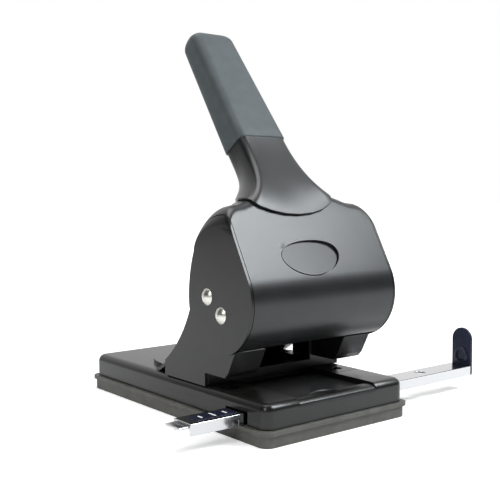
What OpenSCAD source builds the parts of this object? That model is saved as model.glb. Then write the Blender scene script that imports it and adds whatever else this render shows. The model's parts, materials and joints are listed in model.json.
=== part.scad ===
// Heavy-duty two-hole paper punch: long lever, twin punch pins, sliding paper guide.
// Origin: centre of the base's underside. +X right as seen from the paper side, +Y to the rear, +Z up.

/* [Base] */
// Width of the base over its tray
base_w = 110; // [100:1:140]
// Length of the base over its tray
base_l = 190; // [180:1:230]
// Height of the base, to the paper's level
base_h = 23; // [22:0.5:28]
// Height of the chip tray
tray_h = 9; // [8:0.5:10]
// Wall of the chip tray
tray_wall = 5; // [4.5:0.5:6]
// Radius of one rubber foot
foot_r = 6.5; // [5:0.5:9]
// Thickness of the base cover's top
cover_t = 2.5; // [2.2:0.1:3]
// Depth of the sunk centre panel below the cover's top
panel_drop = 3; // [2:0.5:3.5]
// Width of the sunk centre panel
panel_w = 58; // [45:1:60]

/* [Punching] */
// Distance between the two punched holes
hole_pitch = 80; // [75:0.5:84]
// Diameter of the punched holes
hole_d = 6; // [5:0.1:6.5]
// Distance from the paper's edge to the hole centres
edge_distance = 12; // [10:0.5:13]
// Height of the paper throat
throat_gap = 7.8; // [6:0.2:9]
// Distance from the base's front edge to the paper stop
throat_depth = 59.2; // [55:0.2:66]

/* [Column] */
// Width of the column over its side plates
column_w = 103; // [96:1:104]
// Thickness of the column's steel plates
plate_t = 2; // [1.5:0.1:2.5]
// Height of the fulcrum above the paper's level
pivot_rise = 42.9; // [42:0.5:46]
// Distance from the paper stop forward to the fulcrum
pivot_ahead = 19.8; // [19:0.2:21]
// Radius of both axles
axle_r = 3; // [2.5:0.1:3.2]

/* [Lever] */
// Width of the lever over its cheeks
lever_w = 109; // [108:0.5:112]
// Thickness of the lever's cheeks
cheek_t = 1.8; // [1.5:0.1:1.8]
// Radius of the lever's drum
drum_r = 29.4; // [29:0.1:31]
// Backward lean of the front cover at rest, in degrees
cover_lean = 29; // [27:0.1:31]
// Backward lean of the handle at rest, in degrees
handle_lean = 36.6; // [34:0.1:38]
// Height of the whole punch at rest
overall_h = 235; // [225:1:250]
// Width of the handle's grip at its foot
grip_w = 36.5; // [34:0.5:40]
// Depth of the handle's grip at its foot
grip_d = 20.6; // [19:0.2:24]
// Distance between the fulcrum and the pusher axle
arm_r = 15.87; // [15.5:0.01:16.2]
// Angle of the pusher axle above the fulcrum at rest, in degrees
arm_angle = 35; // [33:1:36]
// Swing of the lever from rest to the end of its stroke, in degrees
stroke = 50; // [46:1:50]

/* [Paper guide] */
// Width of the sliding guide bar
guide_w = 16; // [12:0.5:18]
// Height of the sliding guide bar
guide_h = 6.4; // [5:0.2:6.6]
// Length of the guide bar
guide_l = 227.5; // [200:0.5:260]
// How far the guide's stop stands out to the right of the base's middle
guide_reach = 140; // [120:1:160]
// Height of the guide's stop above its bar
stop_rise = 25; // [18:1:30]
// Sheet thickness of the guide
guide_t = 1.2; // [1:0.1:1.6]

/* [Clearances] */
// Radial clearance of a pin that turns or slides in its bore
run_gap = 0.05; // [0.02:0.01:0.1]
// Gap between pieces that are fitted by hand
fit_gap = 0.15; // [0.1:0.05:0.3]
// Gap between pieces that move past each other
move_gap = 0.3; // [0.3:0.05:0.5]

/* [Hidden] */
$fn = 48;
eps = 0.01;

// Main places, as seen from the origin
front_y = -base_l / 2;
stop_y = front_y + throat_depth;
pin_y = stop_y - edge_distance;
pin_x = hole_pitch / 2;
pin_r = hole_d / 2;
roof_z = base_h + throat_gap;
pivot_y = stop_y - pivot_ahead;
pivot_z = base_h + pivot_rise;
pusher_y = pivot_y + arm_r * cos(arm_angle);
pusher_z = pivot_z + arm_r * sin(arm_angle);
drop = arm_r * (sin(arm_angle) - sin(arm_angle - stroke));

// Base
tray_r = 6;
tray_floor = 2.8;
tray_inset = 1.2;
lip_h = 2.5;
cover_inset = 2.4;
cover_w = base_w - 2 * cover_inset;
cover_l = base_l - 2 * cover_inset;
cover_wall = 2;
cover_round = 4.5;
cover_corner = 6;
pocket_floor = 1.8;
panel_t = 2;
panel_z = base_h - panel_drop;
boss_r = 4.5;
screw_r = 1.5;
screw_head_t = 1.6;
screw_seat = 2;
panel_low = base_h - panel_drop - panel_t - pocket_floor;
cover_screw_places = [[24, front_y + 11, panel_low], [28, -front_y - 14, base_h - cover_t]];
foot_x = base_w / 2 - 14;
foot_y = base_l / 2 - 16;
foot_t = 1.2;
die_t = 1.2;
die_in = panel_w / 2 + 1.5;
die_out = column_w / 2 - plate_t - 0.5;
die_front = 22;
notch_w = 20;
notch_d = 7;

// Column
plate_x = column_w / 2;
plate_in = plate_x - plate_t;
web_x = plate_in - fit_gap;
lobe_r = 19.4;
slot_lobe_r = 22.8;
slot_r = axle_r + 0.4;
flange_w = 10;
flange_t = 2.5;
sweep_r = 81.4;
sweep_y = stop_y + 89.7;
sweep_z = base_h + 74.9;
column_rear = stop_y + 42;
rear_top_y = pivot_y + 37;
foot_plan_r = 42;
foot_plan_y = 23;
window_w = 56;
window_sill = 5.5;
stop_top = 24;
nose_in = 30;
nose_front = stop_y - 22.2;
nose_slope = 9.5;
nose_top = roof_z + 15.2;
nose_wall = 1.5;
nose_floor = 3;
nose_corner = 3;
bush_r = pin_r + 1.2;
bush_flange_r = pin_r + 2.6;
bush_flange_t = 1.2;
bush_h = 15;
head_r = 4.75;
head_rise = 2.2;
washer_r = 6.5;
rod_r = 2.5;

// Carriage
bar_t = 6;
roller_r = 5;
bar_top = pusher_z - roller_r - move_gap;
bar_front = pivot_y + axle_r + 0.4;
bar_rear = stop_y - 1.2;
bar_x = plate_in - 0.8;
pin_tip = roof_z + 1.5;
pin_head_r = pin_r + 1;
pin_head_t = 1.5;
clip_t = 0.8;
spring_wire = 0.55;
spring_r = bush_r + 1;
spring_turns = 7;
spring_low = roof_z + nose_floor + bush_flange_t;
spring_high = bar_top - bar_t;

// Lever
lever_x = lever_w / 2;
cheek_in = lever_x - cheek_t;
drum_y = pivot_y + 1.8;
drum_z = pivot_z + 7.3;
cover_sheet = 2;
panel_y = drum_y - drum_r * cos(cover_lean);
panel_at_z = drum_z + drum_r * sin(cover_lean);
back_r = 70;
lip_angle = 240;
shoulder_z = pivot_z + 49;
shoulder_r = 11;
cover_top_z = shoulder_z + shoulder_r;
flare = [[11, 7.5], [8, 14], [4.3, 21], [1.7, 28], [0, 34]];
neck_w = 34.4;
neck_d = 19.6;
neck_t = 1.8;
neck_y = pivot_y + 21.6;
neck_z = pivot_z + 88.1;
neck_foot = 26;
neck_back = neck_y + 20.6;
grip_foot = 15;
grip_top_w = 32;
grip_end_r = 9.4;
grip_wall = 3.4;
core_w = 24;
core_d = 10;
core_y = neck_d / 2;
rivet_r = 2;
grip_end = (overall_h - grip_end_r - neck_z + core_y * sin(handle_lean)) / cos(handle_lean);
inset_w = 43;
inset_h = 22;
inset_sag = 2;
inset_t = 1;
inset_x = -5;
inset_up = 10;

// Guide
guide_y = front_y + 28;
guide_z = tray_h + 0.3;
guide_top = guide_z + guide_h;
guide_left = guide_reach - guide_l;
track_wall = 1.6;
stop_t = 2;
scale_l = 26;
scale_t = 0.4;
tongue_l = 12;
guide_hole_r = 3.5;
detent_l = 24;
detent_w = 8;
detent_t = 0.5;
guide_hole_x = 96;

// A plate with rounded corners, standing on z = 0
module rounded_plate(w, l, h, r) {
    linear_extrude(h) rounded_outline(w, l, r);
}

module rounded_outline(w, l, r) {
    square([w - 2 * r, l], center = true);
    square([w, l - 2 * r], center = true);
    for (x = [-1, 1], y = [-1, 1]) translate([x * (w / 2 - r), y * (l / 2 - r)]) circle(r);
}

// A plate with rounded corners and a rounded upper edge, standing on z = 0
module pillow_plate(w, l, h, corner, edge) {
    rounded_plate(w, l, h - edge, corner);
    rounded_plate(w - 2 * edge, l - 2 * edge, h, corner - edge);
    for (s = [-1, 1]) {
        translate([s * (w / 2 - edge), 0, h - edge]) rotate([90, 0, 0])
            cylinder(r = edge, h = l - 2 * corner, center = true);
        translate([0, s * (l / 2 - edge), h - edge]) rotate([0, 90, 0])
            cylinder(r = edge, h = w - 2 * corner, center = true);
    }
    for (x = [-1, 1], y = [-1, 1])
        translate([x * (w / 2 - corner), y * (l / 2 - corner), h - edge])
            rotate_extrude() intersection() {
                translate([corner - edge, 0]) circle(edge);
                translate([0, -edge]) square([corner, 2 * edge]);
            }
}

// Turns a Y-Z outline into a plate between two X planes
module along_x(x0, x1) {
    translate([x0, 0, 0]) rotate([90, 0, 90]) linear_extrude(x1 - x0) children();
}

// Places a child on the right, and its mirror image on the left
module on_side(side) {
    if (side > 0) children();
    else mirror([1, 0, 0]) children();
}

// A sector of a ring about [y, z], from angle a0 to a1, under 180 degrees wide
module ring_sector(y, z, r0, r1, a0, a1) {
    reach = 3 * r1;
    mid = (a0 + a1) / 2;
    translate([y, z]) intersection() {
        difference() {
            circle(r1, $fn = 120);
            circle(r0, $fn = 120);
        }
        polygon([[0, 0], reach * [cos(a0), sin(a0)], reach * [cos(mid), sin(mid)],
                 reach * [cos(a1), sin(a1)]]);
    }
}

module x_rod(y, z, r, x0, x1) {
    translate([x0, y, z]) rotate([0, 90, 0]) cylinder(r = r, h = x1 - x0);
}

// A rivet head, domed, on the outer face at x, facing outwards
module dome_head(y, z, x) {
    for (s = [-1, 1])
        translate([s * x, y, z]) rotate([0, s * 90, 0]) rotate_extrude() intersection() {
            translate([0, -dome_r() + head_rise]) circle(dome_r(), $fn = 96);
            square([head_r, head_rise]);
        }
}

function dome_r() = (head_r * head_r + head_rise * head_rise) / (2 * head_rise);

// ---- Base ----

module base_tray() {
    color("#7a7a74") difference() {
        union() {
            rounded_plate(base_w - 2 * tray_inset, base_l - 2 * tray_inset, tray_h, tray_r);
            translate([0, 0, tray_h - lip_h]) rounded_plate(base_w, base_l, lip_h, tray_r);
        }
        translate([0, 0, tray_floor]) difference() {
            rounded_plate(base_w - 2 * tray_wall, base_l - 2 * tray_wall, tray_h, tray_r - 1);
            at_cover_screws() translate([0, 0, -1]) cylinder(r = boss_r, h = tray_h - tray_floor + 1);
        }
        at_feet() translate([0, 0, -1]) cylinder(r = foot_r + fit_gap, h = 1 + foot_t);
        at_cover_screws() {
            cylinder(r = screw_r + fit_gap, h = base_h);
            translate([0, 0, -1]) cylinder(r = 2 * screw_r + fit_gap, h = 1 + screw_seat);
        }
    }
}

module at_feet() {
    for (x = [-1, 1], y = [-1, 1]) translate([x * foot_x, y * foot_y, 0]) children();
}

// Feet let into the tray's underside, flush with it
module rubber_feet() {
    color("#26262a") at_feet() cylinder(r = foot_r, h = foot_t);
}

// Repeats a child at each cover screw; $boss_top is the height that the screw's boss reaches
module at_cover_screws() {
    for (s = [-1, 1], p = cover_screw_places) translate([s * p[0], p[1], 0]) {
        $boss_top = p[2];
        children();
    }
}

module cover_screws() {
    color("silver") at_cover_screws() translate([0, 0, screw_seat - screw_head_t]) {
        cylinder(r = 2 * screw_r, h = screw_head_t);
        cylinder(r = screw_r, h = $boss_top - 1 - screw_seat + screw_head_t);
    }
}

module base_cover() {
    color("#2c2d2f") difference() {
        translate([0, 0, tray_h]) {
            difference() {
                pillow_plate(cover_w, cover_l, base_h - tray_h, cover_corner, cover_round);
                translate([0, 0, -1]) rounded_plate(cover_w - 2 * cover_wall, cover_l - 2 * cover_wall,
                    base_h - tray_h - cover_round + 1, cover_corner - cover_wall);
                rounded_plate(cover_w - 2 * cover_round, cover_l - 2 * cover_round,
                    base_h - tray_h - cover_t, cover_corner - cover_wall);
            }
            at_cover_screws() cylinder(r = boss_r, h = $boss_top - tray_h + eps);
            translate([-panel_w / 2 - 2, front_y + cover_inset + cover_wall, panel_low - tray_h])
                cube([panel_w + 4, throat_depth - cover_inset - cover_wall, pocket_floor + panel_t + 0.5]);
        }
        at_cover_screws() cylinder(r = screw_r + run_gap, h = $boss_top - 1 + fit_gap);
        panel_pocket();
        for (s = [-1, 1]) {
            on_side(s) die_seat();
            translate([s * pin_x, pin_y, 0]) cylinder(r = pin_r + 1.5, h = base_h + 1);
        }
        guide_passage();
        column_screw_holes(tray_h);
    }
}

// The pocket that the sunk centre panel fills, open at the front
module panel_pocket() {
    translate([-panel_w / 2, front_y - 1, panel_z - panel_t])
        cube([panel_w, throat_depth + 1, base_h]);
}

// The seat of the right die plate in the cover's top
module die_seat() {
    translate([die_in - fit_gap, stop_y - die_front - fit_gap, base_h - die_t])
        cube([die_out - die_in + 2 * fit_gap, die_front + 2 * fit_gap, die_t + 1]);
}

// Way through the cover's two side walls for the guide bar and its track
module guide_passage() {
    translate([-base_w / 2 - 1, guide_y - guide_w / 2 - track_wall - fit_gap, tray_h - 1])
        cube([base_w + 2, guide_w + 2 * track_wall + 2 * fit_gap, guide_top + scale_t + move_gap - tray_h + 1]);
}

module centre_panel() {
    plug_l = throat_depth - cover_inset - fit_gap;
    color("#222325") difference() {
        intersection() {
            translate([-panel_w / 2 + fit_gap, front_y + cover_inset, panel_z - panel_t])
                cube([panel_w - 2 * fit_gap, plug_l, panel_t]);
            translate([0, 0, tray_h]) pillow_plate(cover_w, cover_l, base_h - tray_h, cover_corner, cover_round);
        }
        translate([0, front_y + 13, panel_z - 1]) linear_extrude(2) intersection() {
            translate([0, -notch_w / 2 + notch_d / 2]) circle(notch_w / 2 + 3);
            translate([0, notch_w / 2 - notch_d / 2]) circle(notch_w / 2 + 3);
        }
    }
}

module die_plate() {
    color("#3c3d40") difference() {
        translate([die_in, stop_y - die_front, base_h - die_t]) cube([die_out - die_in, die_front, die_t]);
        translate([pin_x, pin_y, base_h - die_t - 1]) cylinder(r = pin_r + run_gap, h = die_t + 2);
    }
}

// ---- Column ----

// Side view of one column plate
module column_outline() {
    difference() {
        union() {
            translate([pivot_y, pivot_z]) circle(lobe_r, $fn = 96);
            ring_sector(pivot_y, pivot_z, axle_r + 2, slot_lobe_r, arm_angle - stroke - 14, arm_angle + 14);
            polygon([[stop_y, base_h], [stop_y, roof_z], [nose_front + nose_corner, roof_z],
                     [nose_front, roof_z + nose_corner],
                     [nose_front - nose_slope + nose_corner, nose_top], [pivot_y - 5, nose_top],
                     [pivot_y, pivot_z], [rear_top_y - 2, pivot_z],
                     [rear_top_y, pivot_z - 4], [column_rear, base_h + 12], [column_rear, base_h]]);
        }
        translate([sweep_y, sweep_z]) circle(sweep_r, $fn = 180);
        ring_sector(pivot_y, pivot_z, arm_r - slot_r, arm_r + slot_r, arm_angle - stroke, arm_angle);
        for (a = [arm_angle, arm_angle - stroke])
            translate([pivot_y + arm_r * cos(a), pivot_z + arm_r * sin(a)]) circle(slot_r);
        translate([pivot_y, pivot_z]) circle(axle_r + 0.02);
    }
}

// The stretcher rod stands behind the paper stop, above the window, and butts against both plates
function rod_y() = stop_y + 12;
function rod_z() = base_h + 30;

function flange_screws() = [stop_y + 12, stop_y + 30];

module column_screw_holes(z) {
    for (x = [-1, 1], y = flange_screws())
        translate([x * (plate_in - flange_w / 2 - 0.5), y, z]) cylinder(r = screw_r + fit_gap, h = base_h + 10 - z);
}

module side_plate() {
    color("#303133") difference() {
        union() {
            along_x(plate_in, plate_x) column_outline();
            translate([plate_in - flange_w, stop_y + 4, base_h])
                cube([flange_w + eps, column_rear - stop_y - 6, flange_t]);
        }
        column_screw_holes(base_h - 1);
    }
}

module column_screws() {
    color("silver") for (x = [-1, 1], y = flange_screws())
        translate([x * (plate_in - flange_w / 2 - 0.5), y, base_h - cover_t - screw_head_t]) {
            cylinder(r = 2 * screw_r, h = screw_head_t);
            cylinder(r = screw_r, h = cover_t + flange_t + 3);
        }
}

module stretcher_rod() {
    color("silver") x_rod(rod_y(), rod_z(), rod_r, -plate_in, plate_in);
}

module column_rear_web() {
    web_low = sweep_z - (base_h + flange_t);
    low_y = sweep_y - sqrt(sweep_r * sweep_r - web_low * web_low);
    color("#303133") {
        along_x(-web_x, web_x) intersection() {
            difference() {
                translate([sweep_y, sweep_z]) circle(sweep_r + plate_t, $fn = 180);
                translate([sweep_y, sweep_z]) circle(sweep_r, $fn = 180);
            }
            translate([rear_top_y - 6, base_h]) square([low_y - rear_top_y + 9, pivot_z - 6 - base_h]);
        }
        translate([0, 0, base_h]) linear_extrude(flange_t) intersection() {
            union() {
                translate([0, foot_plan_y]) circle(foot_plan_r, $fn = 120);
                polygon([[-web_x, column_rear + fit_gap], [web_x, column_rear + fit_gap],
                         [foot_plan_r, foot_plan_y + 2], [-foot_plan_r, foot_plan_y + 2]]);
            }
            translate([-base_w / 2, column_rear + fit_gap]) square([base_w, base_l]);
        }
    }
}

module paper_stop() {
    color("#2c2d2f") difference() {
        translate([-web_x, stop_y, base_h]) cube([2 * web_x, plate_t, stop_top]);
        translate([-window_w / 2, stop_y - 1, base_h + window_sill]) cube([window_w, plate_t + 2, stop_top]);
    }
}

// ---- Noses and punch guides ----

// Side view of a nose shell, drawn smaller by the given inset
module nose_outline(inset) {
    low = roof_z + (inset > 0 ? nose_floor : 0);
    high = nose_top + (inset > 0 ? 1 : 0);
    polygon([[stop_y - 0.3, low], [nose_front + nose_corner + inset, low],
             [nose_front + inset, roof_z + nose_corner + inset / 2],
             [nose_front - nose_slope + nose_corner + inset, high], [stop_y - 0.3, high]]);
}

module nose() {
    color("#2c2d2f") difference() {
        along_x(nose_in, web_x) nose_outline(0);
        along_x(nose_in + nose_wall, web_x + 1) nose_outline(nose_wall);
        translate([nose_in + nose_wall, stop_y - 3, roof_z + nose_floor]) cube([web_x, 4, nose_top]);
        translate([pin_x, pin_y, roof_z - 1]) cylinder(r = bush_r + 0.02, h = nose_floor + 2);
    }
}

module punch_bush() {
    color("goldenrod") translate([pin_x, pin_y, roof_z + 0.1]) difference() {
        union() {
            cylinder(r = bush_r, h = bush_h);
            translate([0, 0, nose_floor - 0.1]) cylinder(r = bush_flange_r, h = bush_flange_t);
        }
        translate([0, 0, -1]) cylinder(r = pin_r + run_gap, h = bush_h + 2);
    }
}

// ---- Axles ----

module fulcrum_axle() {
    color("gainsboro") {
        x_rod(pivot_y, pivot_z, axle_r, -lever_x - run_gap, lever_x + run_gap);
        dome_head(pivot_y, pivot_z, lever_x + run_gap);
    }
}

module pivot_washers() {
    gap = (cheek_in - plate_x) / 2;
    color("silver") for (s = [-1, 1]) difference() {
        x_rod(pivot_y, pivot_z, washer_r, s * (plate_x + gap) - gap + 0.1, s * (plate_x + gap) + gap - 0.1);
        x_rod(pivot_y, pivot_z, axle_r + run_gap, -base_w, base_w);
    }
}

module pusher_axle() {
    color("gainsboro") {
        x_rod(pusher_y, pusher_z, axle_r, -lever_x, lever_x);
        dome_head(pusher_y, pusher_z, lever_x);
    }
}

module pusher_rollers() {
    color("silver") for (s = [-1, 1]) difference() {
        x_rod(pusher_y, pusher_z, roller_r, s * pin_x - 7, s * pin_x + 7);
        x_rod(pusher_y, pusher_z, axle_r + run_gap, -base_w, base_w);
    }
}

// ---- Punch carriage ----

module pressure_bar() {
    color("#55585c") difference() {
        translate([-bar_x, bar_front, bar_top - bar_t]) cube([2 * bar_x, bar_rear - bar_front, bar_t]);
        for (s = [-1, 1]) translate([s * pin_x, pin_y, 0]) {
            cylinder(r = pin_r + 0.02, h = overall_h);
            translate([0, 0, bar_top - pin_head_t]) cylinder(r = pin_head_r + 0.02, h = bar_t);
        }
    }
}

module punch_pin() {
    color("gainsboro") translate([pin_x, pin_y, 0]) difference() {
        union() {
            translate([0, 0, pin_tip]) cylinder(r = pin_r, h = bar_top - pin_tip);
            translate([0, 0, bar_top - pin_head_t + 0.02]) cylinder(r = pin_head_r, h = pin_head_t - 0.02);
        }
        translate([0, 0, pin_tip]) rotate([90, 0, 0]) cylinder(r = pin_r / 2, h = 4 * pin_r, center = true);
    }
}

module pin_clips() {
    color("silver") for (s = [-1, 1]) translate([s * pin_x, pin_y, spring_high - clip_t]) difference() {
        cylinder(r = spring_r + 0.4, h = clip_t);
        translate([0, 0, -1]) cylinder(r = pin_r + 0.02, h = clip_t + 2);
    }
}

// A compression spring about the right punch pin, as one swept wire
module punch_spring() {
    ring = 6;
    steps = 16 * spring_turns;
    low = spring_low + spring_wire + 0.05;
    rise = spring_high - clip_t - spring_wire - 0.05 - low;
    points = [for (i = [0:steps]) let (a = 360 * i * spring_turns / steps, z = low + rise * i / steps)
        for (j = [0:ring - 1]) let (b = 360 * j / ring, r = spring_r + spring_wire * cos(b))
            [pin_x + r * cos(a), pin_y + r * sin(a), z + spring_wire * sin(b)]];
    sides = [for (i = [0:steps - 1], j = [0:ring - 1]) let (k = (j + 1) % ring)
        [i * ring + j, (i + 1) * ring + j, (i + 1) * ring + k, i * ring + k]];
    ends = [[for (j = [0:ring - 1]) j], [for (j = [ring - 1:-1:0]) steps * ring + j]];
    color("silver") polyhedron(points, concat(sides, ends));
}

// ---- Lever ----

// Y of the front cover's outer face at height z
function panel_face(z) = panel_y + (z - panel_at_z) * tan(cover_lean);

// Side view of the drum, drawn smaller by the given inset: round below, with a straight front
// and a slack curve behind
module drum_outline(inset) {
    shift = inset / cos(cover_lean);
    top_y = drum_y + drum_r - 15;
    translate([drum_y, drum_z]) circle(drum_r - inset, $fn = 144);
    intersection() {
        translate([drum_y + drum_r - back_r, drum_z]) circle(back_r - inset, $fn = 240);
        polygon([[drum_y, drum_z], [drum_y + drum_r, drum_z], [drum_y + drum_r, shoulder_z - 14],
                 [top_y - inset, shoulder_z + 1], [top_y - 14 - inset, cover_top_z - 2 - inset],
                 [panel_face(cover_top_z - 2) + shift, cover_top_z - 2 - inset],
                 [panel_face(panel_at_z) + shift, panel_at_z]]);
    }
}

// Front view of the drum, its shoulders and the neck's root, drawn smaller by the given inset
module front_outline(inset) {
    half = lever_x - inset;
    corner = lever_x - shoulder_r;
    right = concat([[corner, 0], [corner, cover_top_z - inset]],
                   [for (p = flare) [neck_w / 2 + p[0] - inset, cover_top_z + p[1] - inset]]);
    left = [for (i = [len(right) - 1:-1:0]) [-right[i][0], right[i][1]]];
    translate([-half, 0]) square([2 * half, shoulder_z]);
    for (s = [-1, 1]) translate([s * corner, shoulder_z]) circle(shoulder_r - inset);
    polygon(concat(right, left));
}

// Stands a front view on end, from y0 to y1
module along_y(y0, y1) {
    translate([0, y1, 0]) rotate([90, 0, 0]) linear_extrude(y1 - y0) children();
}

// Side view of the sloping shoulders between the drum and the neck
module shoulder_outline(inset) {
    shift = inset / cos(cover_lean);
    polygon([[panel_face(shoulder_z - 8) + shift, shoulder_z - 8],
             [panel_face(cover_top_z + 4) + shift, cover_top_z + 4],
             [neck_y - 3 + inset, neck_z - 3], [neck_y + neck_d - inset, neck_z],
             [neck_back - inset, neck_z - 12], [neck_back - 2 - inset, shoulder_z + 8 + inset],
             [drum_y, shoulder_z - 8]]);
}

// Plan of the shoulders, wide at the cheeks and narrow behind the neck
module shoulder_plan(inset) {
    half = lever_x - inset;
    polygon([[-half, front_y], [half, front_y], [half, drum_y + 10 - inset],
             [neck_w / 2, neck_back - inset], [-neck_w / 2, neck_back - inset], [-half, drum_y + 10 - inset]]);
}

// The lever's shoulders as a solid, its walls moved in by the given inset
module shoulder_solid(inset) {
    intersection() {
        along_x(-lever_x + inset, lever_x - inset) shoulder_outline(inset);
        linear_extrude(overall_h) shoulder_plan(inset);
        along_y(front_y, base_l) front_outline(inset);
    }
}

// The right cheek, with the drum's outline
module cheek() {
    intersection() {
        along_x(cheek_in, lever_x) drum_outline(0);
        along_y(front_y, base_l) front_outline(0);
    }
}

module axle_bores() {
    x_rod(pivot_y, pivot_z, axle_r + run_gap, -base_w, base_w);
    x_rod(pusher_y, pusher_z, axle_r + 0.02, -base_w, base_w);
}

// Places a child in the handle's own frame: Z along the handle, Y from its front face to its back
module in_handle() {
    translate([0, neck_y, neck_z]) rotate([-handle_lean, 0, 0]) children();
}

module lever_frame() {
    color("#303133") difference() {
        union() {
            for (s = [-1, 1]) on_side(s) cheek();
            difference() {
                shoulder_solid(0);
                shoulder_solid(cheek_t);
                translate([-cheek_in, -base_l, 0]) cube([2 * cheek_in, 2 * base_l, shoulder_z]);
            }
            in_handle() translate([-neck_w / 2, 0, -neck_foot]) cube([neck_w, neck_d, neck_foot + grip_foot]);
        }
        cover_space();
        in_handle() {
            translate([-neck_w / 2 + neck_t, neck_t, -neck_foot - 1])
                cube([neck_w - 2 * neck_t, neck_d - 2 * neck_t, neck_foot + grip_foot + 2]);
            rivet_holes();
        }
        axle_bores();
    }
}

rivet_zs = [-6, 6];

// Holes for the handle's two rivets, from the middle of its core out through the neck's rear wall
module rivet_holes() {
    for (z = rivet_zs) translate([0, core_y, z]) rotate([-90, 0, 0]) cylinder(r = rivet_r + 0.02, h = neck_d);
}

// Side view of the room that the front cover takes, widened by the given gap
module cover_region(gap) {
    lip = [drum_y + drum_r * cos(lip_angle), drum_z + drum_r * sin(lip_angle)];
    polygon([[-base_l, lip[1] - 3 - gap], [lip[0] + gap, lip[1] - 3 - gap], [lip[0] + gap, lip[1] - gap],
             [drum_y, drum_z], [panel_face(cover_top_z) + 9, cover_top_z - 1 + gap],
             [-base_l, cover_top_z - 1 + gap]]);
}

module cover_space() {
    along_x(-base_w, base_w) difference() {
        cover_region(fit_gap);
        drum_outline(cover_sheet + fit_gap);
    }
}

module front_cover() {
    color("#3a3c3e") difference() {
        intersection() {
            along_x(-lever_x, lever_x) intersection() {
                difference() {
                    drum_outline(0);
                    drum_outline(cover_sheet);
                }
                cover_region(0);
            }
            along_y(front_y, base_l) front_outline(0);
        }
        inset_cut(inset_w, inset_h, 1);
    }
}

// A leaf-shaped cut in the front cover, square to its face; its two ends lie a little high
module inset_cut(w, h, depth) {
    translate([inset_x, panel_y, panel_at_z]) rotate([90 - cover_lean, 0, 0])
        translate([0, inset_up, -depth]) linear_extrude(depth + 5)
            polygon([for (a = [0:6:354]) [w / 2 * cos(a), h / 2 * sin(a) + inset_sag * cos(a) * cos(a)]]);
}

module front_inset() {
    color("#1d1e20") intersection() {
        inset_cut(inset_w - 1.2, inset_h - 1.2, 1);
        along_x(-lever_x, lever_x) difference() {
            drum_outline(0.4);
            drum_outline(inset_t);
        }
    }
}

module handle_core() {
    color("silver") in_handle() difference() {
        translate([-core_w / 2, core_y - core_d / 2, -neck_foot / 2])
            cube([core_w, core_d, neck_foot / 2 + grip_end]);
        rivet_holes();
    }
}

module handle_rivets() {
    color("gainsboro") in_handle() for (z = rivet_zs)
        translate([0, core_y + 0.1, z]) rotate([-90, 0, 0]) cylinder(r = rivet_r, h = neck_d - core_y - 0.3);
}

module handle_grip() {
    color("#4f5659") in_handle() difference() {
        hull() {
            translate([0, core_y, grip_foot + 0.2]) rounded_plate(grip_w, grip_d, 1, 6, $fn = 32);
            translate([0, core_y, grip_end]) rotate([0, 90, 0]) {
                cylinder(r = grip_end_r, h = grip_top_w - 8, center = true, $fn = 32);
                cylinder(r = grip_end_r - 4, h = grip_top_w, center = true, $fn = 32);
            }
        }
        translate([-core_w / 2 - fit_gap, core_y - core_d / 2 - fit_gap, 0])
            cube([core_w + 2 * fit_gap, core_d + 2 * fit_gap, grip_end + fit_gap]);
    }
}

// ---- Paper guide ----

module guide_track() {
    wide = guide_w + 2 * move_gap;
    color("#55585c") difference() {
        translate([-base_w / 2 + tray_wall + 1, guide_y - wide / 2 - track_wall, tray_floor])
            cube([base_w - 2 * tray_wall - 2, wide + 2 * track_wall, guide_top - tray_floor - move_gap]);
        translate([-base_w, guide_y - wide / 2, guide_z - move_gap]) cube([2 * base_w, wide, 2 * guide_h]);
        translate([-base_w, guide_y - wide / 2 + 2, 0]) cube([2 * base_w, wide - 4, guide_h]);
    }
}

// A leaf spring that arches up inside the bar and holds it where it is put
module guide_detent() {
    floor_z = guide_z - move_gap;
    rise = guide_top - guide_t - move_gap - floor_z;
    outer = (detent_l * detent_l / 4 + rise * rise) / (2 * rise);
    color("silver") translate([0, guide_y + detent_w / 2, floor_z]) rotate([90, 0, 0])
        linear_extrude(detent_w) intersection() {
            translate([0, rise - outer]) difference() {
                circle(outer, $fn = 96);
                circle(outer - detent_t, $fn = 96);
            }
            translate([-detent_l, 0]) square([2 * detent_l, rise + 1]);
        }
}

module guide_bar() {
    color("lightgray") difference() {
        translate([guide_left, guide_y - guide_w / 2, guide_z]) cube([guide_l - stop_t, guide_w, guide_h]);
        translate([guide_left - 1, guide_y - guide_w / 2 + guide_t, guide_z - guide_t])
            cube([guide_l + 2, guide_w - 2 * guide_t, guide_h]);
        translate([guide_hole_x, guide_y, 0]) cylinder(r = guide_hole_r, h = base_h + 5);
    }
}

module guide_scale() {
    color("#1b2030") translate([guide_left + 6, guide_y - guide_w / 2 + 3, guide_top])
        cube([scale_l, guide_w - 6, scale_t]);
}

module guide_tongue() {
    color("lightgray") translate([guide_left - tongue_l / 2, guide_y - guide_w / 2 + guide_t + fit_gap,
            guide_top - 2 * guide_t - 0.05])
        cube([tongue_l * 2, guide_w - 2 * guide_t - 2 * fit_gap, guide_t]);
}

module guide_stop() {
    color("#23283a") difference() {
        along_x(guide_reach - stop_t, guide_reach) {
            translate([guide_y - guide_w / 2, guide_z]) square([guide_w, guide_h + stop_rise - guide_w / 2]);
            translate([guide_y, guide_top + stop_rise - guide_w / 2]) circle(guide_w / 2);
        }
    }
}

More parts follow.
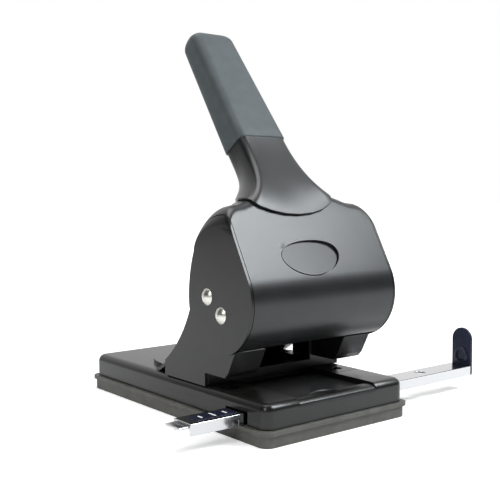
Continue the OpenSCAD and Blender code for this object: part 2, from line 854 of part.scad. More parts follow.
base_tray();
rubber_feet();
base_cover();
centre_panel();
cover_screws();
on_side(-1) die_plate();  // die_plate_left
on_side(1) die_plate();  // die_plate_right
paper_stop();
column_screws();
on_side(-1) side_plate();  // side_plate_left
on_side(1) side_plate();  // side_plate_right
column_rear_web();
stretcher_rod();
on_side(-1) nose();  // nose_left
on_side(1) nose();  // nose_right
on_side(-1) punch_bush();  // punch_bush_left
on_side(1) punch_bush();  // punch_bush_right
fulcrum_axle();
pivot_washers();
on_side(-1) punch_spring();  // punch_spring_left
on_side(1) punch_spring();  // punch_spring_right
pressure_bar();
on_side(-1) punch_pin();  // punch_pin_left
on_side(1) punch_pin();  // punch_pin_right
pin_clips();
lever_frame();
front_cover();
front_inset();
pusher_axle();
pusher_rollers();
handle_core();
handle_rivets();
handle_grip();
guide_track();
guide_detent();
guide_bar();
guide_scale();
guide_tongue();
guide_stop();
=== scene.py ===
import json
import math

import bmesh
import bpy
from mathutils import Matrix, Vector


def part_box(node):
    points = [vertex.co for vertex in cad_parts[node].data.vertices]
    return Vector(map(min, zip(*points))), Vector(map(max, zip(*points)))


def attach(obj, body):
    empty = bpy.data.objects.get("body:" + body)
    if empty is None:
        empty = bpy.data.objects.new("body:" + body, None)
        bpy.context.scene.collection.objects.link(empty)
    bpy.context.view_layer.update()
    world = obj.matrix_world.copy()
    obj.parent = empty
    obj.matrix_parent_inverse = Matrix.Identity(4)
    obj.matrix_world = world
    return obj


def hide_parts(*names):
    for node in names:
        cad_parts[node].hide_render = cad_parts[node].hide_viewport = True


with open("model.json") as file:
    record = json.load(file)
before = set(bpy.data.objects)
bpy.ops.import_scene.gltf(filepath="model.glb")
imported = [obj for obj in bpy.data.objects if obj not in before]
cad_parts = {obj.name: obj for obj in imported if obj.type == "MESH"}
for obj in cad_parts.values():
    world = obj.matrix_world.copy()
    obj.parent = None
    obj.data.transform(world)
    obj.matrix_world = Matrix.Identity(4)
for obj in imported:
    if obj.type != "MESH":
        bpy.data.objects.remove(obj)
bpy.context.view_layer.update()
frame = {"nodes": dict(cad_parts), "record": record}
NODES = frame["nodes"]


# ---- Materials ----

def new_material(name, color, roughness, metallic=0.0, specular=0.5):
    """A Principled material; returns it with its node tree and shader."""
    mat = bpy.data.materials.new(name)
    mat.use_nodes = True
    tree = mat.node_tree
    shader = tree.nodes["Principled BSDF"]
    shader.inputs["Base Color"].default_value = (*color, 1)
    shader.inputs["Roughness"].default_value = roughness
    shader.inputs["Metallic"].default_value = metallic
    shader.inputs["Specular IOR Level"].default_value = specular
    return mat, tree, shader


def noise(tree, scale, detail=2.0, stretch=(1, 1, 1)):
    """A noise texture in object coordinates, in features per metre."""
    coords = tree.nodes.new("ShaderNodeTexCoord")
    mapping = tree.nodes.new("ShaderNodeMapping")
    mapping.inputs["Scale"].default_value = stretch
    texture = tree.nodes.new("ShaderNodeTexNoise")
    texture.inputs["Scale"].default_value = scale
    texture.inputs["Detail"].default_value = detail
    tree.links.new(coords.outputs["Object"], mapping.inputs["Vector"])
    tree.links.new(mapping.outputs["Vector"], texture.inputs["Vector"])
    return texture


def vary_color(tree, shader, texture, low, high):
    """Mixes two colours by a texture into the base colour."""
    ramp = tree.nodes.new("ShaderNodeValToRGB")
    ramp.color_ramp.elements[0].position = 0.35
    ramp.color_ramp.elements[1].position = 0.65
    ramp.color_ramp.elements[0].color = (*low, 1)
    ramp.color_ramp.elements[1].color = (*high, 1)
    tree.links.new(texture.outputs["Fac"], ramp.inputs["Fac"])
    tree.links.new(ramp.outputs["Color"], shader.inputs["Base Color"])


def vary_roughness(tree, shader, texture, low, high):
    """Spreads the roughness between two values by a texture."""
    ranged = tree.nodes.new("ShaderNodeMapRange")
    ranged.inputs["To Min"].default_value = low
    ranged.inputs["To Max"].default_value = high
    tree.links.new(texture.outputs["Fac"], ranged.inputs["Value"])
    tree.links.new(ranged.outputs["Result"], shader.inputs["Roughness"])


def add_bump(tree, shader, texture, depth, strength=1.0):
    """Bump of the given depth in metres."""
    bump = tree.nodes.new("ShaderNodeBump")
    bump.inputs["Distance"].default_value = depth
    bump.inputs["Strength"].default_value = strength
    tree.links.new(texture.outputs["Fac"], bump.inputs["Height"])
    tree.links.new(bump.outputs["Normal"], shader.inputs["Normal"])


def satin_paint(name, dark, light, roughness, specular=0.45):
    """Black powder coat: fine orange peel, slightly uneven sheen."""
    mat, tree, shader = new_material(name, dark, roughness, specular=specular)
    vary_color(tree, shader, noise(tree, 60, 3), dark, light)
    vary_roughness(tree, shader, noise(tree, 250, 2), roughness - 0.015, roughness + 0.02)
    add_bump(tree, shader, noise(tree, 1400, 2), 0.000003, 0.2)
    return mat


def moulded_plastic(name, dark, light, roughness, grain=1800):
    """Moulded plastic or rubber with a fine spark-eroded grain."""
    mat, tree, shader = new_material(name, dark, roughness, specular=0.35)
    vary_color(tree, shader, noise(tree, 120, 4), dark, light)
    vary_roughness(tree, shader, noise(tree, 400, 2), roughness - 0.05, roughness + 0.05)
    add_bump(tree, shader, noise(tree, grain, 3), 0.00006, 0.5)
    return mat


def bright_metal(name, color, roughness, streaks=(1, 1, 1), scale=400):
    """Plated or ground metal with fine drawn streaks."""
    mat, tree, shader = new_material(name, color, roughness, metallic=1.0)
    vary_roughness(tree, shader, noise(tree, scale, 3, streaks), roughness * 0.7, roughness * 1.5)
    add_bump(tree, shader, noise(tree, scale, 2, streaks), 0.00001, 0.3)
    return mat


MATERIALS = {
    "black_paint": satin_paint("black_paint", (0.007, 0.0068, 0.0062), (0.0095, 0.0092, 0.0085), 0.29),
    "lever_paint": satin_paint("lever_paint", (0.008, 0.0085, 0.009), (0.0115, 0.012, 0.0126), 0.33, 0.5),
    "tray_plastic": moulded_plastic("tray_plastic", (0.085, 0.084, 0.075), (0.11, 0.108, 0.098), 0.5),
    "foot_rubber": moulded_plastic("foot_rubber", (0.02, 0.02, 0.021), (0.03, 0.03, 0.03), 0.7),
    "black_plastic": moulded_plastic("black_plastic", (0.012, 0.012, 0.0125), (0.017, 0.017, 0.018), 0.38),
    "grip_rubber": moulded_plastic("grip_rubber", (0.055, 0.066, 0.072), (0.066, 0.078, 0.084), 0.55, 2400),
    "plated_steel": bright_metal("plated_steel", (0.62, 0.62, 0.6), 0.32),
    "dark_steel": bright_metal("dark_steel", (0.2, 0.2, 0.21), 0.4, (1, 20, 1)),
    "tool_steel": bright_metal("tool_steel", (0.66, 0.66, 0.66), 0.22, (1, 1, 30)),
    "brass_bush": bright_metal("brass_bush", (0.6, 0.44, 0.2), 0.3),
    "spring_steel": bright_metal("spring_steel", (0.5, 0.5, 0.5), 0.3),
    "nickel": bright_metal("nickel", (0.70, 0.69, 0.64), 0.3, (1, 1, 1), 900),
    "guide_chrome": bright_metal("guide_chrome", (0.58, 0.58, 0.59), 0.14, (1, 25, 25), 300),
    "scale_label": moulded_plastic("scale_label", (0.006, 0.008, 0.02), (0.009, 0.012, 0.028), 0.3),
    "guide_plastic": moulded_plastic("guide_plastic", (0.012, 0.015, 0.032), (0.018, 0.022, 0.045), 0.3),
    "mark_white": moulded_plastic("mark_white", (0.75, 0.75, 0.75), (0.82, 0.82, 0.82), 0.5),
}

SLOTS = {part["node"]: part["material_slot"] for part in frame["record"]["subparts"]}
for node, slot in SLOTS.items():
    NODES[node].data.materials.clear()
    NODES[node].data.materials.append(MATERIALS[slot])


# ---- Sizes of the lever, in millimetres ----

MM = 0.001
JOINTS = {joint["name"]: joint for joint in frame["record"]["behaviour"]["joints"]}
PIVOT_Y, PIVOT_Z = (value / MM for value in JOINTS["lever_pivot"]["pos_m"][1:])
LEVER_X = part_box("lever_frame")[1][0] / MM

PANEL_LEAN = math.radians(29)
DRUM_R = 29.4
DRUM_Y = PIVOT_Y + 1.8
DRUM_Z = PIVOT_Z + 7.3
BACK_R = 70.0
LIP_ANGLE = 240
CREST_CORNER = 11.0
CREST_EDGE = PIVOT_Z + 49
CREST_RISE = 5.0
ROLL_R = 8.0
HOOD_FOOT = PIVOT_Z + 34
HOOD_DEPTH = 20.0
SHEET = 1.6
CHEEK_T = 1.6
SEAM = 0.35

HANDLE_LEAN = math.radians(36.6)
NECK_Y = PIVOT_Y + 21.6
NECK_Z = PIVOT_Z + 88.1
NECK_W, NECK_D = 34.4, 19.6
GRIP_FOOT = 15.0
GRIP_W, GRIP_D = 36.5, 20.6
GRIP_TOP_W = 32.0
GRIP_END_R = 9.6

TANGENT_Y = DRUM_Y - DRUM_R * math.cos(PANEL_LEAN)
TANGENT_Z = DRUM_Z + DRUM_R * math.sin(PANEL_LEAN)


def panel_y(z):
    """Y of the front panel's face at height z."""
    return TANGENT_Y + (z - TANGENT_Z) * math.tan(PANEL_LEAN)


def smoothstep(t):
    t = min(max(t, 0.0), 1.0)
    return t * t * (3 - 2 * t)


def arc(cy, cz, r, a0, a1, n):
    """Points on an arc in the Y-Z plane; angles in degrees from +Y."""
    turns = [math.radians(a0 + (a1 - a0) * i / n) for i in range(n + 1)]
    return [(cy + r * math.cos(a), cz + r * math.sin(a)) for a in turns]


# ---- Mesh helpers ----

def make_piece(name, verts, faces, slot, body, nodes, sharp=35):
    """A smooth-shaded piece from points in millimetres, which rides on a body and replaces nodes."""
    mesh = bpy.data.meshes.new(name)
    mesh.from_pydata([Vector(v) * MM for v in verts], [], faces)
    return adopt(name, mesh, slot, body, nodes, sharp)


def adopt(name, mesh, slot, body, nodes, sharp=35):
    """Makes a piece of a mesh: cleans it, shades it and gives it its material."""
    work = bmesh.new()
    work.from_mesh(mesh)
    bmesh.ops.remove_doubles(work, verts=work.verts, dist=1e-6)
    bmesh.ops.recalc_face_normals(work, faces=work.faces)
    work.to_mesh(mesh)
    work.free()
    mesh.materials.clear()
    mesh.materials.append(MATERIALS[slot])
    mesh.polygons.foreach_set("use_smooth", [True] * len(mesh.polygons))
    mesh.set_sharp_from_angle(angle=math.radians(sharp))
    piece = bpy.data.objects.new(name, mesh)
    bpy.context.scene.collection.objects.link(piece)
    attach(piece, body)
    if nodes:
        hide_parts(*nodes)
    return piece


def add_shell(piece, thickness):
    solid = piece.modifiers.new("shell", "SOLIDIFY")
    solid.thickness = thickness * MM
    solid.offset = -1
    solid.use_even_offset = True


def add_bevel(piece, width, segments=3, angle=35):
    bevel = piece.modifiers.new("edges", "BEVEL")
    bevel.width = width * MM
    bevel.segments = segments
    bevel.limit_method = "ANGLE"
    bevel.angle_limit = math.radians(angle)
    bevel.harden_normals = True


def carve(piece, cutter):
    """Cuts a shape out of a piece and removes the shape."""
    cut = piece.modifiers.new("cut", "BOOLEAN")
    cut.operation = "DIFFERENCE"
    cut.solver = "EXACT"
    cut.object = cutter
    bake_modifiers(piece)
    bpy.data.objects.remove(cutter)


def bake_modifiers(piece):
    graph = bpy.context.evaluated_depsgraph_get()
    mesh = bpy.data.meshes.new_from_object(piece.evaluated_get(graph))
    piece.modifiers.clear()
    piece.data = mesh


def eased_copy(node, body, width):
    """A copy of a CAD node with its sharp edges eased, which stands for the node."""
    mesh = NODES[node].data.copy()
    work = bmesh.new()
    work.from_mesh(mesh)
    bmesh.ops.remove_doubles(work, verts=work.verts, dist=2e-6)
    bmesh.ops.dissolve_limit(work, angle_limit=math.radians(1.0), verts=work.verts, edges=work.edges)
    work.to_mesh(mesh)
    work.free()
    piece = adopt(node + "_eased", mesh, SLOTS[node], body, [node])
    add_bevel(piece, width)
    return piece


def loft(rings, closed=True):
    """Faces between rings of equal length; the ring itself is closed if asked."""
    n = len(rings[0])
    faces = []
    for i in range(len(rings) - 1):
        for j in range(n if closed else n - 1):
            k = (j + 1) % n
            faces.append((i * n + j, (i + 1) * n + j, (i + 1) * n + k, i * n + k))
    return [p for ring in rings for p in ring], faces


def close_ends(faces, rings):
    """Adds a face over the first and the last ring."""
    n = len(rings[0])
    faces.append(tuple(range(n)))
    faces.append(tuple(range((len(rings) - 1) * n, len(rings) * n)))


def rounded_ring(half_w, y0, y1, r, arcs=8, side=6):
    """A rounded rectangle's points, from the middle of its low-Y side, anticlockwise."""
    corners = [(half_w - r, y0 + r, -90), (half_w - r, y1 - r, 0),
               (-half_w + r, y1 - r, 90), (-half_w + r, y0 + r, 180)]
    points = []
    for cx, cy, a0 in corners:
        for i in range(arcs + 1):
            a = math.radians(a0 + 90 * i / arcs)
            points.append((cx + r * math.cos(a), cy + r * math.sin(a)))
    out = []
    count = len(points)
    for i, p in enumerate(points):
        q = points[(i + 1) % count]
        out.append(p)
        if (i + 1) % (arcs + 1) == 0:
            out += [(p[0] + (q[0] - p[0]) * t / side, p[1] + (q[1] - p[1]) * t / side)
                    for t in range(1, side)]
    start = min(range(len(out)), key=lambda i: abs(out[i][0]) + (0 if out[i][1] < (y0 + y1) / 2 else 1e6))
    return out[start:] + out[:start]


# ---- Lever ----

def crest(x):
    """Height of the shoulders' crest at x: rounded at the cheeks, rising towards the neck."""
    out = abs(x) - (LEVER_X - CREST_CORNER)
    if out > 0:
        return CREST_EDGE + math.sqrt(max(CREST_CORNER ** 2 - out ** 2, 0))
    return CREST_EDGE + CREST_CORNER + CREST_RISE * smoothstep(-out / 20)


def hood_profile(x):
    """The front panel's line, the roll over the crest and the fall behind it, at x."""
    top = crest(x)
    turn = math.pi / 2 - PANEL_LEAN
    roll_z = top - ROLL_R * (1 - math.cos(turn))
    roll_y = panel_y(roll_z)
    line = [(panel_y(TANGENT_Z + (roll_z - TANGENT_Z) * i / 8), TANGENT_Z + (roll_z - TANGENT_Z) * i / 8)
            for i in range(9)]
    roll = []
    for i in range(1, 9):
        a = turn * (1 - i / 8)
        roll.append((roll_y + ROLL_R * (math.sin(turn) - math.sin(a)), top - ROLL_R * (1 - math.cos(a))))
    crest_y = roll[-1][0]
    back_y = back_at(HOOD_FOOT) + HOOD_DEPTH * smoothstep((LEVER_X - abs(x)) / 34)
    fall = []
    for i in range(1, 13):
        a = math.pi / 2 * i / 12
        fall.append((crest_y + (back_y - crest_y) * math.sin(a), HOOD_FOOT + (top - HOOD_FOOT) * math.cos(a)))
    return line + roll + fall


def back_at(z):
    """Y of the drum's rear edge at height z."""
    return DRUM_Y + DRUM_R - BACK_R + math.sqrt(BACK_R ** 2 - (z - DRUM_Z) ** 2)


def drum_shell():
    half = LEVER_X - CHEEK_T - SEAM
    outer = [0, 0.35, 0.9, 1.7, 2.8, 4.2, 6, 8.2]
    inner = [43.5, 40, 36, 32, 28, 23, 18, 12, 6]
    right = [half - d for d in outer] + [x for x in inner if x < half - outer[-1] - 0.5]
    xs = sorted([-x for x in right] + [0.0] + right)
    under = arc(DRUM_Y, DRUM_Z, DRUM_R, LIP_ANGLE, 180 - math.degrees(PANEL_LEAN), 22)[:-1]
    rings = [[(x, y, z) for y, z in under + hood_profile(x)] for x in xs]
    verts, faces = loft(rings, closed=False)
    piece = make_piece("drum_shell", verts, faces, "lever_paint", "lever", ["front_cover"])
    add_shell(piece, SHEET)
    bake_modifiers(piece)
    carve(piece, leaf_cutter())
    piece.data.polygons.foreach_set("use_smooth", [True] * len(piece.data.polygons))
    piece.data.set_sharp_from_angle(angle=math.radians(30))
    add_bevel(piece, 0.35, angle=40)


LEAF_W, LEAF_H, LEAF_SAG = 43.0, 22.0, 2.0
LEAF_X, LEAF_UP = -5.0, 10.0
LEAF_DEEP = 3.4
LEAF_TIP = 0.03
LEAF_FLANGE = 4
LEAF_GAP = 1.3


def leaf_outline(w, h, n=72):
    """An ellipse whose ends hang lower than its middle, tipped up to the right."""
    turns = [2 * math.pi * i / n for i in range(n)]
    return [(w / 2 * math.cos(a),
             h / 2 * math.sin(a) + LEAF_SAG * math.cos(a) ** 2 + LEAF_TIP * w / 2 * math.cos(a))
            for a in turns]


def on_panel(u, v, out):
    """A point on the front panel: u across, v up its slope, out in front of its face."""
    sin, cos = math.sin(PANEL_LEAN), math.cos(PANEL_LEAN)
    return (u, TANGENT_Y + v * sin - out * cos, TANGENT_Z + v * cos + out * sin)


def stack_mesh(name, rings):
    """A closed solid through rings of points in millimetres."""
    verts, faces = loft(rings)
    close_ends(faces, rings)
    mesh = bpy.data.meshes.new(name)
    mesh.from_pydata([Vector(v) * MM for v in verts], [], faces)
    work = bmesh.new()
    work.from_mesh(mesh)
    bmesh.ops.recalc_face_normals(work, faces=work.faces)
    work.to_mesh(mesh)
    work.free()
    return mesh


def leaf_ring(w, h, out, tilt=0.0):
    """The leaf's outline on the panel, in front of its face by out, less the tilt at its upper right."""
    return [on_panel(LEAF_X + u, LEAF_UP + v, out - tilt * (u / w + v / h)) for u, v in leaf_outline(w, h)]


def leaf_cutter():
    rings = [leaf_ring(LEAF_W, LEAF_H, -SHEET - 1), leaf_ring(LEAF_W, LEAF_H, 4)]
    cutter = bpy.data.objects.new("leaf_cutter", stack_mesh("leaf_cutter", rings))
    bpy.context.scene.collection.objects.link(cutter)
    return cutter


def leaf_inset():
    """The dished leaf behind the cut, held by a flange under the panel."""
    w, h = LEAF_W - LEAF_GAP, LEAF_H - LEAF_GAP
    under = -SHEET - 0.05
    rings = [leaf_ring(w + LEAF_FLANGE, h + LEAF_FLANGE, -LEAF_DEEP),
             leaf_ring(w + LEAF_FLANGE, h + LEAF_FLANGE, under),
             leaf_ring(w, h, under),
             leaf_ring(w, h, -0.8, 1.3)]
    piece = adopt("leaf_inset", stack_mesh("leaf_inset", rings), "lever_paint", "lever", ["front_inset"])
    add_bevel(piece, 0.3)


def cheeks():
    """Both cheeks: flat side faces that round over into the shoulders."""
    for side, name in ((-1, "left"), (1, "right")):
        inner = LEVER_X - CHEEK_T
        xs = [inner + CHEEK_T * t for t in (0, 0.25, 0.5, 0.7, 0.85, 0.94, 1)]
        rings = []
        for x in xs:
            under = arc(DRUM_Y, DRUM_Z, DRUM_R, 360, 180 - math.degrees(PANEL_LEAN), 56)
            hood = hood_profile(x)
            heights = [HOOD_FOOT - (HOOD_FOOT - DRUM_Z) * i / 8 for i in range(1, 8)]
            fallback = [(back_at(z) + (hood[-1][0] - back_at(HOOD_FOOT)) * smoothstep((z - DRUM_Z) / 30), z)
                        for z in heights]
            rings.append([(side * x, y, z) for y, z in under[:-1] + hood + fallback])
        verts, faces = loft(rings)
        close_ends(faces, rings)
        piece = make_piece("lever_cheek_" + name, verts, faces, "black_paint", "lever", ["lever_frame"], 30)
        add_bevel(piece, 0.3, angle=60)


def in_handle(x, y, z):
    """A point given in the handle's own frame."""
    sin, cos = math.sin(HANDLE_LEAN), math.cos(HANDLE_LEAN)
    return (x, NECK_Y + y * cos + z * sin, NECK_Z - y * sin + z * cos)


RIM_X, RIM_HALF = -4.0, 30.5
RIM_LOW = PIVOT_Z + 53.6
RIM_PROUD = 1.7
RIM_BACK = 34.0


def hood_front(x, z):
    """Y of the hood's front at x and height z, up to its crest."""
    front = hood_profile(x)[:17]
    for (y0, z0), (y1, z1) in zip(front, front[1:]):
        if z <= z1:
            return y0 + (y1 - y0) * (z - z0) / (z1 - z0)
    return front[-1][0]


def hood_top(x, y):
    """Height of the hood behind its crest, at x and y."""
    crest_y, back_y = hood_profile(x)[16][0], hood_profile(x)[-1][0]
    share = min(max((y - crest_y) / (back_y - crest_y), 0), 1)
    return HOOD_FOOT + (crest(x) - HOOD_FOOT) * math.sqrt(1 - share * share)


def rim_point(a):
    """The neck's lower rim at angle a: a tongue over the panel in front, a saddle behind."""
    sin, cos = math.sin(a), math.cos(a)
    if sin < 0:
        x = RIM_X + RIM_HALF * cos
        z = RIM_LOW + (crest(x) - RIM_LOW) * (1 + sin)
        steep = min(1, -2 * sin)
        out = Vector((0, -math.cos(PANEL_LEAN) * steep, 1 - 0.5 * steep)).normalized()
        return Vector((x, hood_front(x, z), z)) + out * RIM_PROUD
    x = RIM_X * (1 - smoothstep(sin)) + RIM_HALF * cos
    y = hood_profile(x)[16][0] + RIM_BACK * sin
    return Vector((x, y, hood_top(x, y) + RIM_PROUD))


def rim_rise(a):
    """The direction in which the neck's surface leaves its rim."""
    sin, cos = math.sin(a), math.cos(a)
    front = Vector((0, math.sin(PANEL_LEAN), math.cos(PANEL_LEAN))) * max(0, -sin)
    side = Vector((-0.85 * cos, 0.15 * abs(cos), 0.5 * abs(cos)))
    rear = Vector((0, 0.15, 1)) * max(0, sin)
    return (front + side + rear).normalized()


def neck():
    ring = rounded_ring(NECK_W / 2, 0, NECK_D, 4.2)
    count = len(ring)
    perimeter = [0.0]
    for i in range(count):
        p, q = ring[i], ring[(i + 1) % count]
        perimeter.append(perimeter[-1] + math.dist(p, q))
    axis = Vector(in_handle(0, 0, 1)) - Vector(in_handle(0, 0, 0))
    levels = 28
    rings = []
    for level in range(levels + 1):
        t = level / levels
        row = []
        for i, (x, y) in enumerate(ring):
            u = perimeter[i] / perimeter[-1]
            a = -math.pi / 2 + 2 * math.pi * u + math.radians(15) * math.sin(2 * math.pi * u)
            p0 = Vector(in_handle(x, y, GRIP_FOOT + 1.5))
            p1 = p0 - axis * 24
            p3 = rim_point(a)
            p2 = p3 + rim_rise(a) * (12 + 8 * max(0, -math.sin(a)))
            row.append(tuple(p0 * (1 - t) ** 3 + p1 * 3 * t * (1 - t) ** 2
                             + p2 * 3 * t * t * (1 - t) + p3 * t ** 3))
        rings.append(row)
    verts, faces = loft(rings)
    piece = make_piece("lever_neck", verts, faces, "lever_paint", "lever", ["lever_frame"], 60)
    add_shell(piece, SHEET)
    add_bevel(piece, 0.4, angle=60)


def grip():
    centre = NECK_D / 2
    foot = GRIP_FOOT + 0.2
    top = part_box("handle_grip")[1][2] / MM
    end = (top - NECK_Z + centre * math.sin(HANDLE_LEAN) - GRIP_END_R) / math.cos(HANDLE_LEAN)
    stations = [foot, foot + 0.25, foot + 0.8] + [foot + 1 + (end - foot - 1) * i / 14 for i in range(1, 15)]
    rings = []
    for s in stations:
        t = (s - foot) / (end - foot)
        ease = 0.5 * max(0, 1 - (s - foot) / 0.8) ** 2
        half_w = (GRIP_W + (GRIP_TOP_W - GRIP_W) * t) / 2 - ease
        half_d = (GRIP_D + (2 * GRIP_END_R - GRIP_D) * t) / 2 - ease
        outline = rounded_ring(half_w, centre - half_d, centre + half_d, 4.6 + 1.5 * t)
        rings.append([in_handle(x, y, s) for x, y in outline])
    for i in range(1, 13):
        a = math.pi / 2 * i / 12.6
        half_d = GRIP_END_R * math.cos(a)
        half_w = GRIP_TOP_W / 2 - (GRIP_END_R - half_d) * 0.9
        s = end + GRIP_END_R * math.sin(a)
        r = min(6.1, half_d * 0.95)
        outline = rounded_ring(half_w, centre - half_d, centre + half_d, r)
        rings.append([in_handle(x, y, s) for x, y in outline])
    verts, faces = loft(rings)
    close_ends(faces, rings)
    make_piece("grip", verts, faces, "grip_rubber", "lever", ["handle_grip"], 50)


# ---- Base and guide ----

SCOOP_HALF = 13
SCOOP_BOW = 0.003


def finger_scoop():
    """The cutter for a shallow curved dip in the sunk panel, for a fingertip."""
    low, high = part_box("centre_panel")
    mesh = bpy.data.meshes.new("scoop")
    work = bmesh.new()
    bmesh.ops.create_uvsphere(work, u_segments=48, v_segments=24, radius=1)
    for v in work.verts:
        share = v.co.x
        v.co.x *= SCOOP_HALF * MM
        v.co.y = v.co.y * 5.5 * MM - SCOOP_BOW * share ** 2
        v.co.z *= 1.9 * MM
    work.to_mesh(mesh)
    work.free()
    cutter = bpy.data.objects.new("scoop", mesh)
    bpy.context.scene.collection.objects.link(cutter)
    cutter.location = (0, low.y + 12.5 * MM, high.z + 0.3 * MM)
    bpy.context.view_layer.update()
    return cutter


LIP_HALF = 28.8
LIP_R = 4.5
LIP_FLAT = 8
LIP_BACK = 10.5
LIP_FOOT = 9


def front_lip():
    """The rounded front edge of the cover, which runs on at full height before the sunk panel."""
    front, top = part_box("base_cover")[0].y / MM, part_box("die_plate_left")[0][2] / MM
    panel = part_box("centre_panel")[1][2] / MM
    line = [(front + 0.02, panel - LIP_FOOT)] + arc(front + LIP_R, top - LIP_R, LIP_R, 180, 90, 8)
    line += [(front + LIP_FLAT, top), (front + LIP_BACK, panel), (front + LIP_BACK, panel - 0.8)]
    line += [(front + 1.4, panel - 0.8), (front + 1.4, panel - LIP_FOOT)]
    rings = [[(x, y, z) for y, z in line] for x in (-LIP_HALF, LIP_HALF)]
    mesh = stack_mesh("front_lip", rings)
    piece = adopt("front_lip", mesh, "black_paint", "base", None, 30)
    add_bevel(piece, 0.3, angle=50)


def base_pieces():
    front_lip()
    eased_copy("base_tray", "base", 0.7)
    eased_copy("base_cover", "base", 0.45)
    panel = eased_copy("centre_panel", "base", 0.3)
    panel.modifiers.clear()
    carve(panel, finger_scoop())
    panel.data.set_sharp_from_angle(angle=math.radians(35))
    add_bevel(panel, 0.3, angle=40)
    for node in ("die_plate_left", "die_plate_right"):
        eased_copy(node, "base", 0.2)
    for node in ("side_plate_left", "side_plate_right", "nose_left", "nose_right", "paper_stop"):
        eased_copy(node, "base", 0.3)
    eased_copy("column_rear_web", "base", 0.5)


SCALE_MARKS = (0.2, 0.5, 0.8)


def guide_pieces():
    eased_copy("guide_bar", "paper_guide", 0.35)
    eased_copy("guide_tongue", "paper_guide", 0.3)
    eased_copy("guide_scale", "paper_guide", 0.12)
    low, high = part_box("guide_scale")
    marks = bmesh.new()
    for i, share in enumerate(SCALE_MARKS):
        x = low.x + (high.x - low.x) * share
        tall = (high.y - low.y) * (0.62 if i == 1 else 0.4)
        place = Matrix.Translation((x, (low.y + high.y) / 2, high.z + 0.00004))
        bmesh.ops.create_cube(marks, size=1, matrix=place @ Matrix.Diagonal((0.0011, tall, 0.00008, 1)))
    mesh = bpy.data.meshes.new("scale_marks")
    marks.to_mesh(mesh)
    marks.free()
    piece = adopt("scale_marks", mesh, "scale_label", "paper_guide", None)
    piece.data.materials.clear()
    piece.data.materials.append(MATERIALS["mark_white"])
    guide_catch()
    guide_stop()


CATCH_OUT = 0.15


def guide_catch():
    """The small arched catch pressed out of the bar's front flange."""
    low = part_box("guide_bar")[0]
    x0, y, z0 = -58.5, low.y / MM, low.z / MM
    outer = [(x0 - 2.4, z0 + 0.6)] + [(x0 - 2.4 * math.cos(a), z0 + 3.2 + 1.6 * math.sin(a))
                                      for a in (math.pi * i / 8 for i in range(9))] + [(x0 + 2.4, z0 + 0.6)]
    verts, faces = [], []
    count = len(outer)
    for k, (depth, grow) in enumerate(((0.0, 1.0), (CATCH_OUT, 1.0), (CATCH_OUT, 0.62), (0.0, 0.62))):
        for x, z in outer:
            verts.append((x0 + (x - x0) * grow, y - depth, z0 + 0.6 + (z - z0 - 0.6) * (0.55 + 0.45 * grow)))
    for k in range(4):
        for j in range(count - 1):
            a, b = k * count, (k + 1) % 4 * count
            faces.append((a + j, a + j + 1, b + j + 1, b + j))
    faces.append(tuple(k * count for k in range(4)))
    faces.append(tuple(k * count + count - 1 for k in range(4)))
    make_piece("guide_catch", verts, faces, "guide_chrome", "paper_guide", None, 30)


def guide_stop():
    eased_copy("guide_stop", "paper_guide", 0.5)
    low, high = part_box("guide_stop")
    ring = bmesh.new()
    turns, sides = 40, 12
    for i in range(turns):
        a = 2 * math.pi * i / turns
        for j in range(sides):
            b = 2 * math.pi * j / sides
            r = 0.0046 + 0.0009 * math.cos(b)
            ring.verts.new((low.x - 0.0004 + 0.0009 * math.sin(b),
                            (low.y + high.y) / 2 + r * math.cos(a),
                            low.z + 0.0125 + max(r * math.sin(a), -0.0030)))
    ring.verts.ensure_lookup_table()
    for i in range(turns):
        for j in range(sides):
            i2, j2 = (i + 1) % turns, (j + 1) % sides
            ring.faces.new([ring.verts[k] for k in
                            (i * sides + j, i2 * sides + j, i2 * sides + j2, i * sides + j2)])
    mesh = bpy.data.meshes.new("guide_stop_ring")
    ring.to_mesh(mesh)
    ring.free()
    adopt("guide_stop_ring", mesh, "guide_plastic", "paper_guide", None)


drum_shell()
leaf_inset()
cheeks()
neck()
grip()
base_pieces()
guide_pieces()


# ---- Camera, floor and light ----

CAMERA_AT = (-0.3280, -0.4365, 0.1355)
CAMERA_YAW = 40.0
CAMERA_PITCH = 3.64
LENS_MM = 62.3
SHIFT = (-0.0712, -0.0146)


def add_camera():
    data = bpy.data.cameras.new("camera")
    camera = bpy.data.objects.new("camera", data)
    bpy.context.scene.collection.objects.link(camera)
    camera.location = CAMERA_AT
    camera.rotation_euler = (math.radians(90 - CAMERA_PITCH), 0, math.radians(-CAMERA_YAW))
    data.lens = LENS_MM
    data.sensor_width = 36
    data.shift_x, data.shift_y = SHIFT
    data.clip_start = 0.01
    bpy.context.scene.camera = camera


def add_area(name, at, aim, size, watts, color=(1, 1, 1)):
    data = bpy.data.lights.new(name, "AREA")
    data.shape = "RECTANGLE"
    data.size, data.size_y = size
    data.energy = watts
    data.color = color
    lamp = bpy.data.objects.new(name, data)
    bpy.context.scene.collection.objects.link(lamp)
    lamp.location = at
    lamp.rotation_euler = (Vector(aim) - Vector(at)).to_track_quat("-Z", "Y").to_euler()
    return lamp


def math_node(tree, operation, first, second):
    node = tree.nodes.new("ShaderNodeMath")
    node.operation = operation
    for socket, value in zip(node.inputs, (first, second)):
        if isinstance(value, float):
            socket.default_value = value
        else:
            tree.links.new(value, socket)
    return node.outputs[0]


def spread(tree, value, low, high, to_low, to_high):
    """Maps a value smoothly from one range to another."""
    node = tree.nodes.new("ShaderNodeMapRange")
    node.interpolation_type = "SMOOTHSTEP"
    tree.links.new(value, node.inputs["Value"])
    for name, number in (("From Min", low), ("From Max", high), ("To Min", to_low), ("To Max", to_high)):
        node.inputs[name].default_value = number
    return node.outputs["Result"]


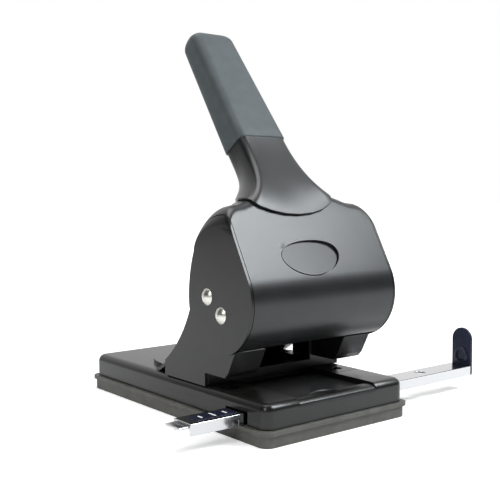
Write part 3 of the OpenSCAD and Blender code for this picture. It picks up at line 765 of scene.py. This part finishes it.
BACKDROP_WAY = (0.643, 0.766, 0.0)
ROOM_GLOW = 0.26
ROOM_DARK = 0.04
FLOOR_SHEEN = 0.4  # how bright the floor looks in glossy surfaces


def add_world():
    """Even, low room light; behind the object a white backdrop, and dark room in front of it."""
    world = bpy.data.worlds.new("studio")
    bpy.context.scene.world = world
    world.use_nodes = True
    tree = world.node_tree
    lit = tree.nodes["Background"]
    lit.inputs["Color"].default_value = (1, 1, 1, 1)
    coords = tree.nodes.new("ShaderNodeTexCoord")
    along = tree.nodes.new("ShaderNodeVectorMath")
    along.operation = "DOT_PRODUCT"
    along.inputs[1].default_value = BACKDROP_WAY
    tree.links.new(coords.outputs["Generated"], along.inputs[0])
    seen = spread(tree, along.outputs["Value"], 0.15, 0.6, ROOM_DARK, 1.0)
    path = tree.nodes.new("ShaderNodeLightPath")
    glossy = tree.nodes.new("ShaderNodeMix")
    tree.links.new(path.outputs["Is Glossy Ray"], glossy.inputs["Factor"])
    glossy.inputs[2].default_value = ROOM_GLOW
    tree.links.new(seen, glossy.inputs[3])
    shown = math_node(tree, "MAXIMUM", glossy.outputs[0], path.outputs["Is Camera Ray"])
    tree.links.new(shown, lit.inputs["Strength"])


def add_floor():
    """A white floor that keeps a soft shadow near the object and fades into the backdrop."""
    bpy.ops.mesh.primitive_plane_add(size=12, location=(0, 0, 0))
    floor = bpy.context.object
    floor.name = "floor"
    mat, tree, shader = new_material("floor_white", (0.85, 0.85, 0.85), 0.9, specular=0.0)
    coords = tree.nodes.new("ShaderNodeTexCoord")
    away = tree.nodes.new("ShaderNodeVectorMath")
    away.operation = "LENGTH"
    tree.links.new(coords.outputs["Object"], away.inputs[0])
    glow = spread(tree, away.outputs["Value"], 0.15, 0.75, 0.45, 1.0)
    path = tree.nodes.new("ShaderNodeLightPath")
    mirrored = math_node(tree, "MULTIPLY", path.outputs["Is Glossy Ray"], FLOOR_SHEEN)
    seen = math_node(tree, "MAXIMUM", path.outputs["Is Camera Ray"], mirrored)
    shader.inputs["Emission Color"].default_value = (1, 1, 1, 1)
    tree.links.new(math_node(tree, "MULTIPLY", glow, seen), shader.inputs["Emission Strength"])
    floor.data.materials.append(mat)


bpy.context.scene.view_settings.view_transform = "Standard"
add_camera()
add_world()
add_floor()
add_area("key", (0.62, -0.66, 1.02), (0, -0.06, 0.12), (0.50, 0.62), 17, (0.92, 0.97, 1.0))
add_area("top", (-0.1, 0.25, 1.4), (0, 0, 0.05), (0.9, 0.9), 11)
add_area("left_strip", (-1.05, -0.42, 0.85), (0, -0.04, 0.14), (0.16, 0.7), 5)
